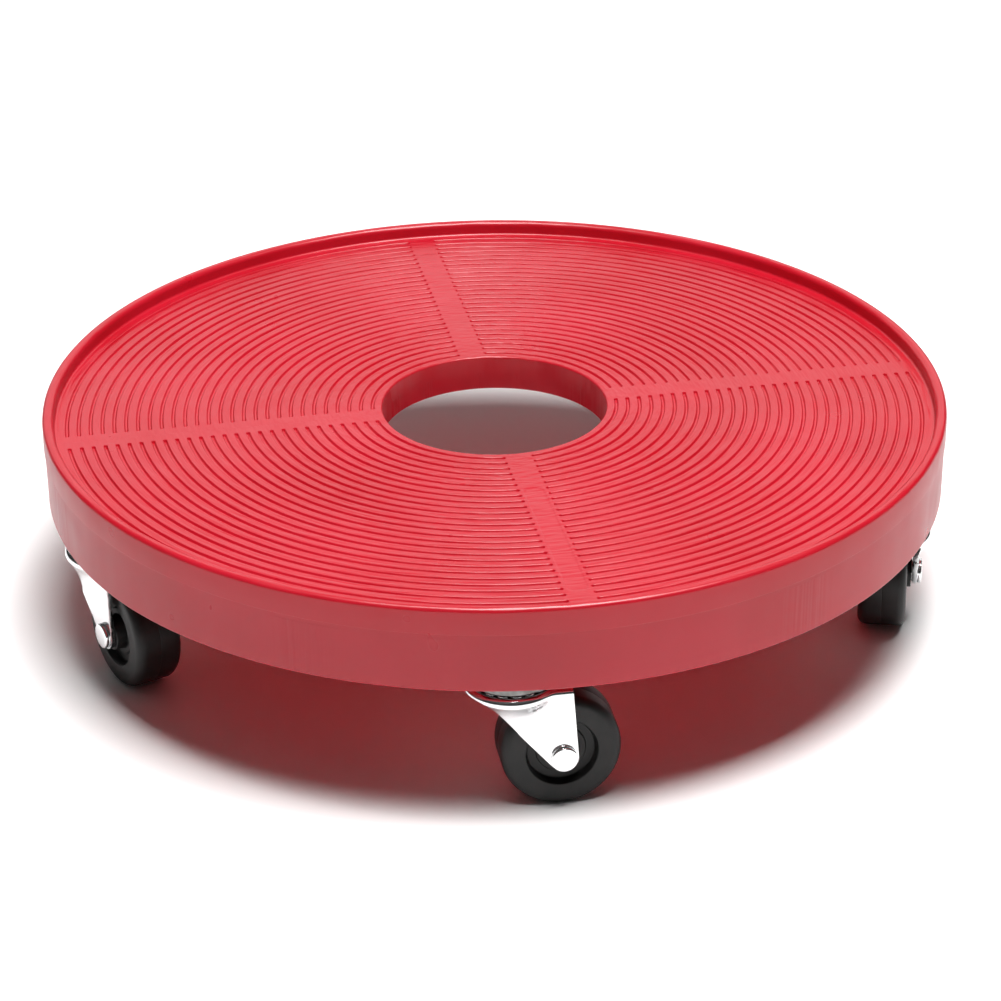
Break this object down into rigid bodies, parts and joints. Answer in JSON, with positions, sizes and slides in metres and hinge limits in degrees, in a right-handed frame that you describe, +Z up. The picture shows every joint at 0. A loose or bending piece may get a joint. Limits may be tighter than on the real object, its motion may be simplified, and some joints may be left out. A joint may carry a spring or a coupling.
{
  "type": "furniture dolly",
  "caption": "Round moulded plastic platform with a raised rim, ringed load surface and centre hole, carried low on swivel casters.",
  "frame": {"origin": "middle of the footprint, on the floor that the wheels stand on", "axes": "+Z up, along the centre hole; two of the deck's plain bands lie along X and two along Y"},
  "size_m": [0.4064, 0.4064, 0.1016],
  "materials": {
    "deck_plastic": "moulded structural foam, semi-gloss, faint flow streaks on the skirt",
    "bright_zinc": "bright zinc plating on pressed steel",
    "turned_steel": "turned, lightly oiled",
    "bearing_steel": "polished balls",
    "wheel_rubber": "hard rubber, satin"
  },
  "bodies": {
    "platform": {"deck": "deck_plastic", "stem_1": "turned_steel", "stem_2": "turned_steel", "stem_3": "turned_steel", "stem_4": "turned_steel", "stem_5": "turned_steel", "grip_ring_1": "turned_steel", "grip_ring_2": "turned_steel", "grip_ring_3": "turned_steel", "grip_ring_4": "turned_steel", "grip_ring_5": "turned_steel", "top_race_1": "bright_zinc", "top_race_2": "bright_zinc", "top_race_3": "bright_zinc", "top_race_4": "bright_zinc", "top_race_5": "bright_zinc"},
    "yoke_1": {"ball_ring_1": "bearing_steel", "fork_1": "bright_zinc", "kingpin_washer_1": "turned_steel", "axle_rivet_1": "bright_zinc", "axle_bushing_1": "turned_steel"},
    "wheel_1": {"wheel_1": "wheel_rubber"},
    "yoke_2": {"ball_ring_2": "bearing_steel", "fork_2": "bright_zinc", "kingpin_washer_2": "turned_steel", "axle_rivet_2": "bright_zinc", "axle_bushing_2": "turned_steel"},
    "wheel_2": {"wheel_2": "wheel_rubber"},
    "yoke_3": {"ball_ring_3": "bearing_steel", "fork_3": "bright_zinc", "kingpin_washer_3": "turned_steel", "axle_rivet_3": "bright_zinc", "axle_bushing_3": "turned_steel"},
    "wheel_3": {"wheel_3": "wheel_rubber"},
    "yoke_4": {"ball_ring_4": "bearing_steel", "fork_4": "bright_zinc", "kingpin_washer_4": "turned_steel", "axle_rivet_4": "bright_zinc", "axle_bushing_4": "turned_steel"},
    "wheel_4": {"wheel_4": "wheel_rubber"},
    "yoke_5": {"ball_ring_5": "bearing_steel", "fork_5": "bright_zinc", "kingpin_washer_5": "turned_steel", "axle_rivet_5": "bright_zinc", "axle_bushing_5": "turned_steel"},
    "wheel_5": {"wheel_5": "wheel_rubber"}
  },
  "joints": [
    {"name": "swivel_1", "type": "hinge", "parent": "platform", "child": "yoke_1", "pos_m": [0.12763, 0.12763, 0.0595], "axis": [0, 0, 1], "continuous": true},
    {"name": "wheel_spin_1", "type": "hinge", "parent": "yoke_1", "child": "wheel_1", "pos_m": [0.11248, 0.13991, 0.0254], "axis": [0.6293, 0.7771, 0], "continuous": true},
    {"name": "swivel_2", "type": "hinge", "parent": "platform", "child": "yoke_2", "pos_m": [-0.08195, 0.16083, 0.0595], "axis": [0, 0, 1], "continuous": true},
    {"name": "wheel_spin_2", "type": "hinge", "parent": "yoke_2", "child": "wheel_2", "pos_m": [-0.09752, 0.14909, 0.0254], "axis": [-0.6018, 0.7986, 0], "continuous": true},
    {"name": "swivel_3", "type": "hinge", "parent": "platform", "child": "yoke_3", "pos_m": [-0.17828, -0.02824, 0.0595], "axis": [0, 0, 1], "continuous": true},
    {"name": "wheel_spin_3", "type": "hinge", "parent": "yoke_3", "child": "wheel_3", "pos_m": [-0.17123, -0.04642, 0.0254], "axis": [-0.9323, -0.3616, 0], "continuous": true},
    {"name": "swivel_4", "type": "hinge", "parent": "platform", "child": "yoke_4", "pos_m": [-0.02824, -0.17828, 0.0595], "axis": [0, 0, 1], "continuous": true},
    {"name": "wheel_spin_4", "type": "hinge", "parent": "yoke_4", "child": "wheel_4", "pos_m": [-0.00874, -0.17879, 0.0254], "axis": [-0.0262, -0.9997, 0], "continuous": true},
    {"name": "swivel_5", "type": "hinge", "parent": "platform", "child": "yoke_5", "pos_m": [0.16083, -0.08195, 0.0595], "axis": [0, 0, 1], "continuous": true},
    {"name": "wheel_spin_5", "type": "hinge", "parent": "yoke_5", "child": "wheel_5", "pos_m": [0.16711, -0.06349, 0.0254], "axis": [0.9466, -0.3223, 0], "continuous": true}
  ]
}
